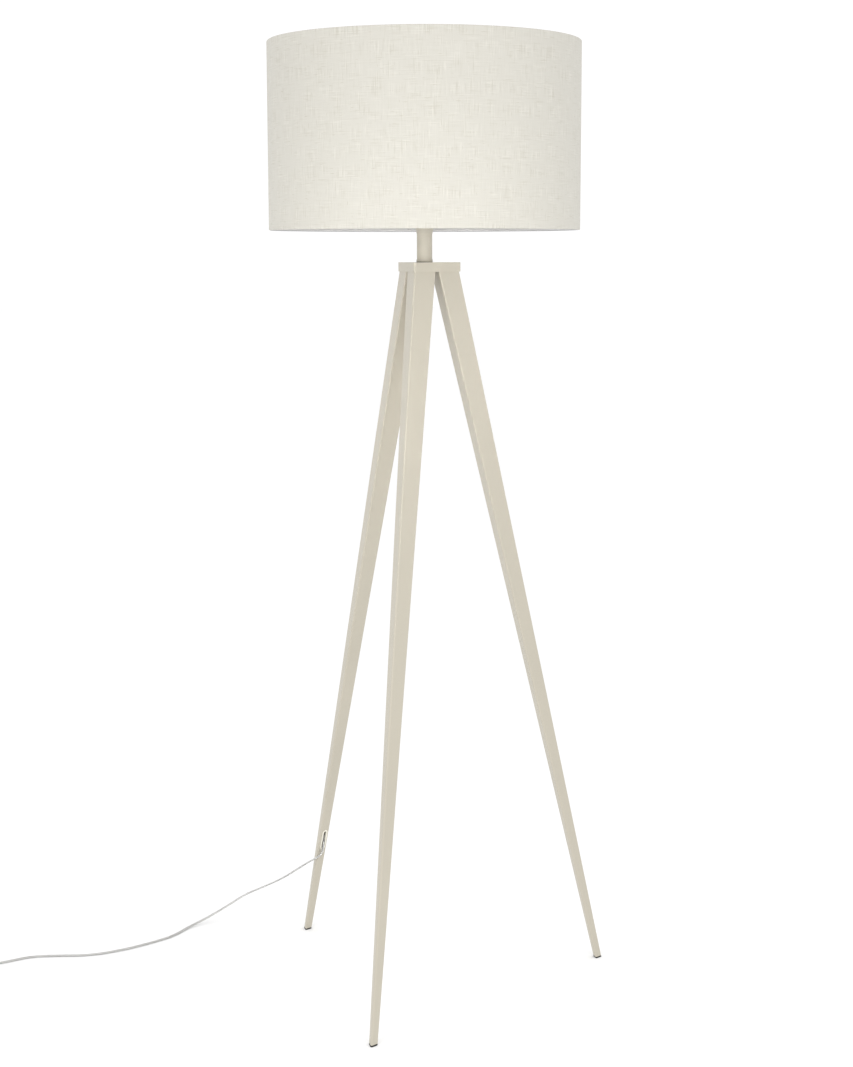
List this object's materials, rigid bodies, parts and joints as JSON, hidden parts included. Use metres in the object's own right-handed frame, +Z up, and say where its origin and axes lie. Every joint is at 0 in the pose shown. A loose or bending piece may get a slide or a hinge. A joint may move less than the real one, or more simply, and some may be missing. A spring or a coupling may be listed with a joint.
{
  "type": "tripod floor lamp",
  "caption": "Tripod floor lamp with tapered triangular metal legs, a triangular cap, a short stem and a linen drum shade on a screw-ring lamp holder, with a switched flex and plug.",
  "frame": {"origin": "on the lamp's axis at the floor, midway between the three feet", "axes": "+Z up along the lamp's axis; the front leg points along -Y and the flex runs out along -X"},
  "size_m": [1.1394, 0.6267, 1.5477],
  "materials": {
    "frame_paint": "cream satin powder coat",
    "foot_rubber": "matt black",
    "steel": "zinc plated",
    "holder_plastic": "white moulded thermoset",
    "ceramic": "white insulating body",
    "brass": "plain brass",
    "bulb_metal": "bright cap",
    "bulb_glass": "frosted glass",
    "bulb_inner_glass": "clear glass pillar",
    "filament": "phosphor coated filament",
    "linen": "ecru slub linen",
    "shade_lining": "white lampshade laminate",
    "wire_coating": "white coated wire",
    "grommet_plastic": "cream plastic lining",
    "cord_clear": "clear sheath over silver conductors",
    "tie": "white strap",
    "fitting_plastic": "white moulded plastic",
    "button_plastic": "pale grey moulded plastic",
    "pin_metal": "nickel plated brass"
  },
  "bodies": {
    "frame": {"cap_cover": "frame_paint", "coil_tie": "tie", "cord_coil": "cord_clear", "cord_foot": "foot_rubber", "cord_inside": "cord_clear", "cord_leg": "frame_paint", "cord_leg_insert": "steel", "cord_to_coil": "cord_clear", "cord_to_plug": "cord_clear", "cord_to_switch": "cord_clear", "front_foot": "foot_rubber", "front_leg": "frame_paint", "front_leg_insert": "steel", "holder_centre_contact": "brass", "holder_core": "ceramic", "holder_cup": "frame_paint", "holder_nipple": "steel", "holder_shell": "holder_plastic", "holder_thread_sleeve": "brass", "leg_plate": "frame_paint", "leg_screws": "steel", "leg_washers": "steel", "nipple_nut": "steel", "plug_body": "fitting_plastic", "plug_pin_left": "pin_metal", "plug_pin_right": "pin_metal", "right_foot": "foot_rubber", "right_leg": "frame_paint", "right_leg_insert": "steel", "slot_grommet": "grommet_plastic", "stem_bush": "steel", "stem_collar": "frame_paint", "stem_foot": "steel", "stem_gasket": "foot_rubber", "stem_nut": "steel", "stem_tube": "frame_paint", "stem_washer": "steel", "switch_base": "fitting_plastic", "switch_cover": "fitting_plastic", "switch_relief_in": "fitting_plastic", "switch_relief_out": "fitting_plastic", "switch_screws": "steel", "switch_spring": "steel", "switch_spring_seat": "fitting_plastic", "switch_terminals": "brass", "terminal_screws": "brass"},
    "lower_ring_nut": {"shade_ring_lower": "holder_plastic"},
    "upper_ring_nut": {"shade_ring_upper": "holder_plastic"},
    "button": {"switch_button": "button_plastic"},
    "shade": {"shade_fabric": "linen", "shade_liner": "shade_lining", "shade_top_wire": "wire_coating", "shade_bottom_wire": "wire_coating", "shade_spider": "wire_coating"},
    "bulb": {"bulb_cap": "bulb_metal", "bulb_contact": "bulb_metal", "bulb_glass": "bulb_glass", "bulb_stem": "bulb_inner_glass", "bulb_filaments": "filament"}
  },
  "joints": [
    {"name": "shade_turn", "type": "hinge", "parent": "frame", "child": "shade", "pos_m": [0, 0, 1.2918], "axis": [0, 0, 1], "continuous": true},
    {"name": "lower_ring_turn", "type": "hinge", "parent": "frame", "child": "lower_ring_nut", "pos_m": [0, 0, 1.2875], "axis": [0, 0, 1], "continuous": true},
    {"name": "upper_ring_turn", "type": "hinge", "parent": "frame", "child": "upper_ring_nut", "pos_m": [0, 0, 1.296], "axis": [0, 0, 1], "continuous": true},
    {"name": "bulb_turn", "type": "hinge", "parent": "frame", "child": "bulb", "pos_m": [0, 0, 1.3], "axis": [0, 0, 1], "continuous": true},
    {"name": "button_press", "type": "slide", "parent": "frame", "child": "button", "axis": [0, 0, -1], "range_m": [0, 0.003], "stiffness_N_per_m": 900, "springref_m": -0.002, "deforming": ["switch_spring"]}
  ]
}
